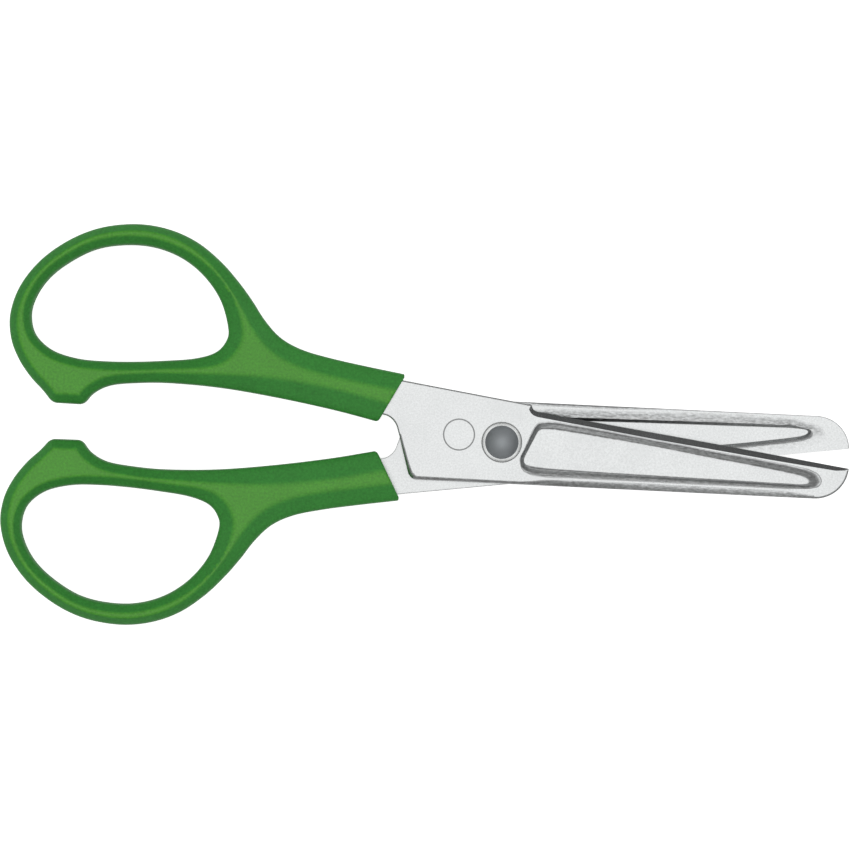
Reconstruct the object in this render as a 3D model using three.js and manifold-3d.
// Child's left-handed scissors: two pressed steel blade halves riveted at a pivot,
// each with a moulded plastic finger loop around its tang.
//
// Millimetres, +Z up. The scissors lie on a table: the origin is the centre of the rivet
// tail's flat end, +X runs along the line between the two halves towards the tips, and
// +Z points out of the side with the domed rivet head. The halves are drawn a little open.
import * as THREE from 'three';
import { mergeVertices } from 'three/addons/utils/BufferGeometryUtils.js';
import Module from 'manifold-3d';

// ---- driving dimensions ------------------------------------------------------------------

const sheet = 1.2;             // thickness of the blade steel
const bladeGap = 0.1;          // running gap between the two inner faces
const handleThickness = 4.8;   // moulded handle, top face to bottom face
const handleChamfer = { across: 0.7, deep: 0.9 };
const pocketGap = 0.2;         // room left around the tang inside the handle

const panelRaise = 0.8;        // how far the pressed panel stands out of the sheet
const panelWall = 0.75;        // width of the panel's sloping wall, seen from above
const recessInset = 0.15;      // the hollow behind the panel is this much smaller all round

const bevelWidth = 0.78;       // ground bevel along the cutting edge, seen from above
const edgeLand = 0.15;         // steel left standing at the cutting edge below the bevel

const rivet = { shank: 1.5, hole: 1.6, head: 2.37, dome: 1.3, tail: 2.2, tailChamfer: 0.3 };
const washer = { hole: 1.6, outer: 2.88, thick: 0.25, gap: 0.05 };

const midHeight = handleThickness / 2;      // the plane between the halves, above the table
const innerFace = bladeGap / 2;             // heights of one half, from the mid plane
const outerFace = innerFace + sheet;

// ---- outlines of one half, seen from above, in its place at rest ---------------------------

// Straight rows of [x, y] between corners, or smooth rows through every point.
const bladeOutline = {
  // up the heel, round the relief that clears the other handle, and along the tang
  heel: [[-12.4, -5.86], [-13.0, -5.1], [-14.6, 0.4]],
  relief: [[-14.6, 0.4], [-15.15, 1.9], [-16.1, 2.85], [-17.4, 3.2]],
  tang: [[-24, 4.7], [-33, 6.6], [-34.5, 7.6], [-34, 9], [-32, 9.6], [-22, 9.2], [-14.4, 8.1]],
  // down the step behind the cutting edge, then along the edge to the tip
  step: [[3.95, 5.5], [4.1, 5.05], [4.45, 4.7], [5, 4.5]],
  edge: [[5, 4.5], [28, 1.5], [49.3, -1.4]],
};
const tip = { x: 44.55, y: -1.11, radius: 4.75 };   // round end, tangent to the straight spine
const tipStart = -0.061;                            // where the round end leaves the edge

const panelOutline = [
  [2.75, -2.3], [4.3, 1.7], [4.75, 2.7], [5.6, 3.2], [6.6, 3.15],
  [26, 0.6], [44, -1.8], [45.05, -2.5], [45.45, -3.6], [44.7, -4.35],
  [4.2, -4.2], [3.2, -3.8], [2.7, -3.1],
];

const handleOutline = {
  // from the shank's front end, over the loop and down to the stop lug
  back: [
    [-14.35, 9], [-20, 9.9], [-25, 10.8], [-29, 11.8], [-32, 13.3], [-34.3, 15.6],
    [-36.3, 18.4], [-38.3, 20.9], [-41, 23.7], [-44.5, 26.3], [-48.5, 27.9], [-53, 28.45],
    [-58, 27.75], [-62.4, 25.85], [-66.4, 22.8], [-69.2, 19], [-70.45, 15], [-70.2, 11.5],
    [-69, 8.6], [-67.2, 6.1], [-65.3, 4.2], [-63.9, 2.55],
  ],
  // from the lug's other corner along the inside of the shank
  front: [
    [-59.4, 2.5], [-58, 4.2], [-55.8, 5.35], [-52.5, 5.85], [-47.5, 6.1],
    [-40, 5.75], [-32, 4.75], [-24, 3.4], [-17.7, 2.05],
  ],
  hole: [
    [-39.5, 14.2], [-39.8, 12.3], [-41.2, 10.75], [-44, 9.8], [-48, 9.3], [-52.2, 8.95],
    [-56.6, 8.8], [-60.6, 9], [-64.2, 10], [-66.6, 12], [-67.4, 14.5], [-67, 17], [-65.4, 19.8],
    [-62.8, 22.2], [-59, 24.4], [-55, 25.3], [-50.8, 25.25], [-46.8, 24], [-43.4, 21.6],
    [-40.8, 18.2],
  ],
};

// ---- helpers ------------------------------------------------------------------------------

const wasm = await Module();
wasm.setup();

function toSolid(geometry) {
  const bare = geometry.clone();
  bare.deleteAttribute('normal');
  bare.deleteAttribute('uv');
  const merged = mergeVertices(bare, 1e-5);
  return new wasm.Manifold(new wasm.Mesh({
    numProp: 3,
    vertProperties: new Float32Array(merged.attributes.position.array),
    triVerts: new Uint32Array(merged.index.array),
  }));
}

function toGeometry(solid) {
  const mesh = solid.getMesh();
  const geometry = new THREE.BufferGeometry();
  geometry.setAttribute('position', new THREE.BufferAttribute(mesh.vertProperties, 3));
  geometry.setIndex(new THREE.BufferAttribute(mesh.triVerts, 1));
  geometry.computeVertexNormals();
  return geometry;
}

const points = (rows) => rows.map(([x, y]) => new THREE.Vector2(x, y));

// A smooth curve through the rows, with the given number of steps between two of them.
function smooth(rows, steps, closed = false) {
  const through = rows.map(([x, y]) => new THREE.Vector3(x, y, 0));
  const curve = new THREE.CatmullRomCurve3(through, closed, 'catmullrom');
  const spans = closed ? rows.length : rows.length - 1;
  const sampled = curve.getPoints(spans * steps);
  if (closed) sampled.pop();
  return sampled.map((point) => new THREE.Vector2(point.x, point.y));
}

// A flat shape given height, from one level up to another.
function extrude(shape, bottom, top) {
  const geometry = new THREE.ExtrudeGeometry(shape, { depth: top - bottom, bevelEnabled: false });
  return geometry.translate(0, 0, bottom);
}

function cylinder(radius, bottom, top) {
  const geometry = new THREE.CylinderGeometry(radius, radius, top - bottom, 48);
  return geometry.rotateX(Math.PI / 2).translate(0, 0, (bottom + top) / 2);
}

// ---- blade half ---------------------------------------------------------------------------

function bladeShape() {
  const shape = new THREE.Shape();
  shape.setFromPoints([
    ...points(bladeOutline.heel),
    ...smooth(bladeOutline.relief, 3).slice(1),
    ...points(bladeOutline.tang),
    ...points(bladeOutline.step),
    ...smooth(bladeOutline.edge, 4).slice(1, -1),
  ]);
  shape.absarc(tip.x, tip.y, tip.radius, tipStart, -Math.PI / 2, true);
  return shape;
}

// The panel's walls lean inwards, so its foot is the outline and its top is one wall smaller.
function panelBlock(foot, inset) {
  const root = 0.2;              // buried in the sheet, so that the two join
  const geometry = new THREE.ExtrudeGeometry(new THREE.Shape(points(panelOutline)), {
    depth: root,
    bevelThickness: panelRaise,
    bevelSize: panelWall,
    bevelOffset: -panelWall - inset,
    bevelSegments: 1,
  });
  return geometry.translate(0, 0, foot - root);
}

// A triangular bar along the cutting edge takes away the corner that the grinder took.
function bevelBar() {
  const [start, , end] = points(bladeOutline.edge);
  const along = new THREE.Vector3(end.x - start.x, end.y - start.y, 0);
  const length = along.length();
  along.normalize();
  const up = new THREE.Vector3(0, 0, 1);
  const outwards = new THREE.Vector3().crossVectors(up, along);
  const rise = sheet - edgeLand;
  const corner = new THREE.Shape([
    new THREE.Vector2(-bevelWidth, rise),
    new THREE.Vector2(0, 0),
    new THREE.Vector2(bevelWidth, -rise),
    new THREE.Vector2(bevelWidth, 2 * rise),
    new THREE.Vector2(-bevelWidth, 2 * rise),
  ]);
  const bar = extrude(corner, 0, length + 1);
  const turn = new THREE.Matrix4().makeBasis(outwards, up, along);
  turn.setPosition(start.x, start.y, innerFace + edgeLand);
  return bar.applyMatrix4(turn);
}

function bladeGeometry() {
  let steel = toSolid(extrude(bladeShape(), innerFace, outerFace));
  steel = steel.add(toSolid(panelBlock(outerFace, 0)));
  steel = steel.subtract(toSolid(panelBlock(innerFace, recessInset)));
  steel = steel.subtract(toSolid(bevelBar()));
  steel = steel.subtract(toSolid(cylinder(rivet.hole, innerFace - 1, outerFace + 1)));
  return toGeometry(steel);
}

// ---- handle half --------------------------------------------------------------------------

function handleGeometry() {
  const shape = new THREE.Shape([
    ...smooth(handleOutline.back, 2),
    ...smooth(handleOutline.front, 2),
  ]);
  shape.holes.push(new THREE.Path(smooth(handleOutline.hole, 2, true)));
  const body = new THREE.ExtrudeGeometry(shape, {
    depth: handleThickness - 2 * handleChamfer.deep,
    bevelThickness: handleChamfer.deep,
    bevelSize: handleChamfer.across,
    bevelOffset: -handleChamfer.across,
    bevelSegments: 1,
  });
  body.translate(0, 0, handleChamfer.deep - midHeight);

  // the pocket is the tang's own outline, let out all round by the gap and run out past the mouth
  const pastMouth = new THREE.Vector2(3, -0.4);
  const [reliefEnd] = points(bladeOutline.relief.slice(-1));
  const [toRicasso] = points(bladeOutline.tang.slice(-1));
  const tang = new THREE.Shape([
    toRicasso.clone().add(pastMouth),
    reliefEnd.clone().add(pastMouth),
    reliefEnd,
    ...points(bladeOutline.tang),
  ]);
  const pocket = new THREE.ExtrudeGeometry(tang, {
    depth: sheet,
    bevelThickness: pocketGap,
    bevelSize: pocketGap,
    bevelSegments: 1,
  });
  pocket.translate(0, 0, innerFace);
  return toGeometry(toSolid(body).subtract(toSolid(pocket)));
}

// ---- rivet and washer ---------------------------------------------------------------------

const headUnderside = outerFace + washer.thick + 2 * washer.gap;

// Profile from the flat tail end up through both halves to the top of the dome.
function rivetGeometry() {
  const tailTop = -outerFace - washer.gap;
  const profile = [
    new THREE.Vector2(0, -midHeight),
    new THREE.Vector2(rivet.tail - rivet.tailChamfer, -midHeight),
    new THREE.Vector2(rivet.tail, -midHeight + rivet.tailChamfer),
    new THREE.Vector2(rivet.tail, tailTop),
    new THREE.Vector2(rivet.shank, tailTop),
    new THREE.Vector2(rivet.shank, headUnderside),
  ];
  const domeRadius = (rivet.head ** 2 + rivet.dome ** 2) / (2 * rivet.dome);
  const rim = Math.asin(rivet.head / domeRadius);
  const rings = 8;
  for (let ring = 0; ring <= rings; ring += 1) {
    const angle = rim * (1 - ring / rings);
    const height = headUnderside + rivet.dome - domeRadius * (1 - Math.cos(angle));
    profile.push(new THREE.Vector2(domeRadius * Math.sin(angle), height));
  }
  return new THREE.LatheGeometry(profile, 48).rotateX(Math.PI / 2);
}

function washerGeometry() {
  const shape = new THREE.Shape();
  shape.absarc(0, 0, washer.outer, 0, 2 * Math.PI, false);
  const hole = new THREE.Path();
  hole.absarc(0, 0, washer.hole, 0, 2 * Math.PI, true);
  shape.holes.push(hole);
  const bottom = outerFace + washer.gap;
  const geometry = new THREE.ExtrudeGeometry(shape, {
    depth: washer.thick, bevelEnabled: false, curveSegments: 24,
  });
  return geometry.translate(0, 0, bottom);
}

// ---- materials and assembly -----------------------------------------------------------------

const steel = new THREE.MeshStandardMaterial({ color: 0xd8dad9, roughness: 0.35, metalness: 1 });
const rivetSteel = new THREE.MeshStandardMaterial({ color: 0x8a8f92, roughness: 0.4, metalness: 1 });
const washerSteel = new THREE.MeshStandardMaterial({ color: 0xe2e4e3, roughness: 0.3, metalness: 1 });
const greenPlastic = new THREE.MeshStandardMaterial({ color: 0x3f8f3a, roughness: 0.45 });

function named(name, geometry, material) {
  const mesh = new THREE.Mesh(geometry, material);
  mesh.name = name;
  return mesh;
}

const blade = bladeGeometry();
const handle = handleGeometry();

// The back half is the same pressing and moulding, turned over about the line of the tips.
const frontHalf = new THREE.Group();
frontHalf.position.z = midHeight;
frontHalf.add(named('front_blade', blade, steel));
frontHalf.add(named('front_handle', handle, greenPlastic));
frontHalf.add(named('pivot_rivet', rivetGeometry(), rivetSteel));
frontHalf.add(named('rivet_washer', washerGeometry(), washerSteel));

const rearHalf = new THREE.Group();
rearHalf.position.z = midHeight;
rearHalf.rotation.x = Math.PI;
rearHalf.add(named('rear_blade', blade, steel));
rearHalf.add(named('rear_handle', handle, greenPlastic));

const group = new THREE.Group();
group.add(frontHalf, rearHalf);

export default group;
